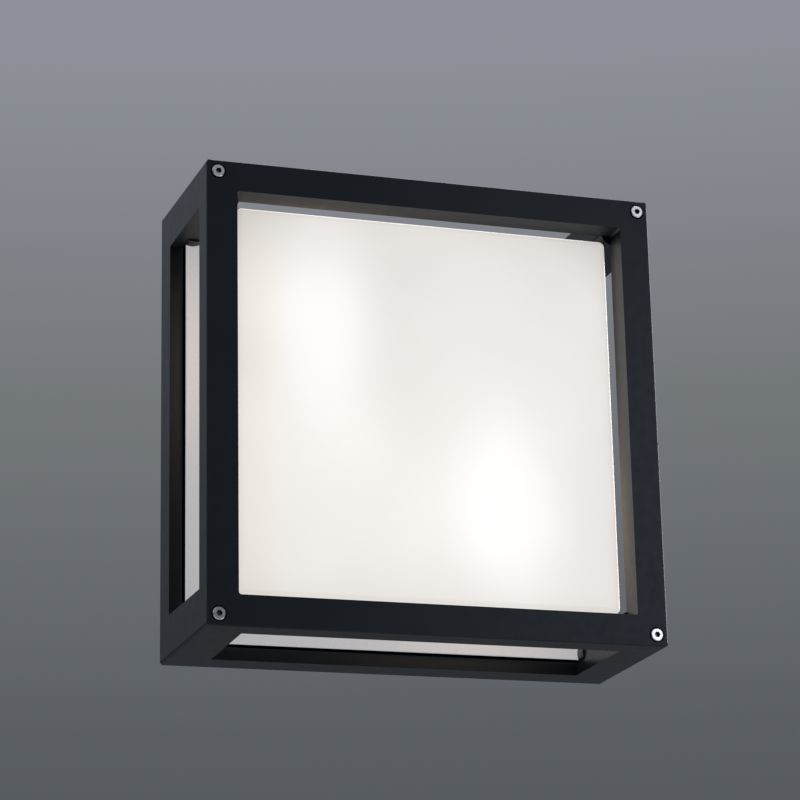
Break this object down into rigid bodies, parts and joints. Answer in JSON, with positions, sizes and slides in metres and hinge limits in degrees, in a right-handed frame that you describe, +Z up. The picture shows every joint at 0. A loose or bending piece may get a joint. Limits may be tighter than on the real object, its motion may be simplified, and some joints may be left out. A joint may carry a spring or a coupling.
{
  "type": "square cage outdoor wall lantern",
  "caption": "Square outdoor wall lantern: a black die-cast cage with open side windows clamps an opal box diffuser over two screw-in lamps lying antiparallel.",
  "frame": {"origin": "centre of the base's back face, in the wall plane", "axes": "+Z up, +Y into the wall, the lantern stands out from the wall along -Y"},
  "size_m": [0.26, 0.1008, 0.26],
  "materials": {
    "black_coat": "satin powder coat",
    "opal": "opal acrylic, slightly glossy",
    "steel": "zinc plated",
    "stainless": "bright stainless",
    "white_plastic": "moulded",
    "seal": "matt",
    "white_coat": "gloss white reflector paint",
    "brass": "plain",
    "porcelain": "glazed",
    "brown_wire": "insulated wire",
    "blue_wire": "insulated wire",
    "green_wire": "insulated wire",
    "lamp_glass": "soft white coated glass",
    "lamp_cap": "rolled thread",
    "black_glass": "vitrified glass"
  },
  "bodies": {
    "wall_base": {"base": "black_coat", "wall_seal": "seal", "diffuser_gasket": "seal", "gear_tray": "white_coat", "m3_screws": "steel", "cable_grommet": "seal", "cord_clamp": "white_plastic", "clamp_screws": "steel", "terminal_block": "white_plastic", "terminal_tubes": "brass", "terminal_screws": "brass", "earth_washer": "steel", "earth_screw": "brass", "bracket_left": "steel", "bracket_right": "steel", "holder_left": "porcelain", "holder_right": "porcelain", "shell_left": "brass", "shell_right": "brass", "contact_left": "brass", "contact_right": "brass", "holder_screws": "steel", "live_leads": "brown_wire", "neutral_leads": "blue_wire", "earth_lead": "green_wire", "lead_bushes": "seal"},
    "cage_body": {"cage": "black_coat", "diffuser": "opal", "diffuser_clips": "steel", "clip_screws": "steel", "screw_washers": "seal"},
    "lamp_left": {"globe_left": "lamp_glass", "cap_left": "lamp_cap", "insulator_left": "black_glass", "eyelet_left": "brass"},
    "lamp_right": {"globe_right": "lamp_glass", "cap_right": "lamp_cap", "insulator_right": "black_glass", "eyelet_right": "brass"},
    "corner_screw_top_left": {"screw_top_left": "stainless"},
    "corner_screw_top_right": {"screw_top_right": "stainless"},
    "corner_screw_bottom_left": {"screw_bottom_left": "stainless"},
    "corner_screw_bottom_right": {"screw_bottom_right": "stainless"}
  },
  "joints": [
    {"name": "cage_off", "type": "slide", "parent": "wall_base", "child": "cage_body", "axis": [0, -1, 0], "range_m": [0, 0.12]},
    {"name": "lamp_left_turn", "type": "hinge", "parent": "wall_base", "child": "lamp_left", "pos_m": [-0.055, -0.049, 0.05], "axis": [0, 0, 1], "range_deg": [0, 1260]},
    {"name": "lamp_right_turn", "type": "hinge", "parent": "wall_base", "child": "lamp_right", "pos_m": [0.055, -0.049, -0.05], "axis": [0, 0, -1], "range_deg": [0, 1260]},
    {"name": "screw_top_left_turn", "type": "hinge", "parent": "cage_body", "child": "corner_screw_top_left", "pos_m": [-0.1222, -0.09, 0.1222], "axis": [0, -1, 0], "continuous": true},
    {"name": "screw_top_right_turn", "type": "hinge", "parent": "cage_body", "child": "corner_screw_top_right", "pos_m": [0.1222, -0.09, 0.1222], "axis": [0, -1, 0], "continuous": true},
    {"name": "screw_bottom_left_turn", "type": "hinge", "parent": "cage_body", "child": "corner_screw_bottom_left", "pos_m": [-0.1222, -0.09, -0.1222], "axis": [0, -1, 0], "continuous": true},
    {"name": "screw_bottom_right_turn", "type": "hinge", "parent": "cage_body", "child": "corner_screw_bottom_right", "pos_m": [0.1222, -0.09, -0.1222], "axis": [0, -1, 0], "continuous": true}
  ]
}
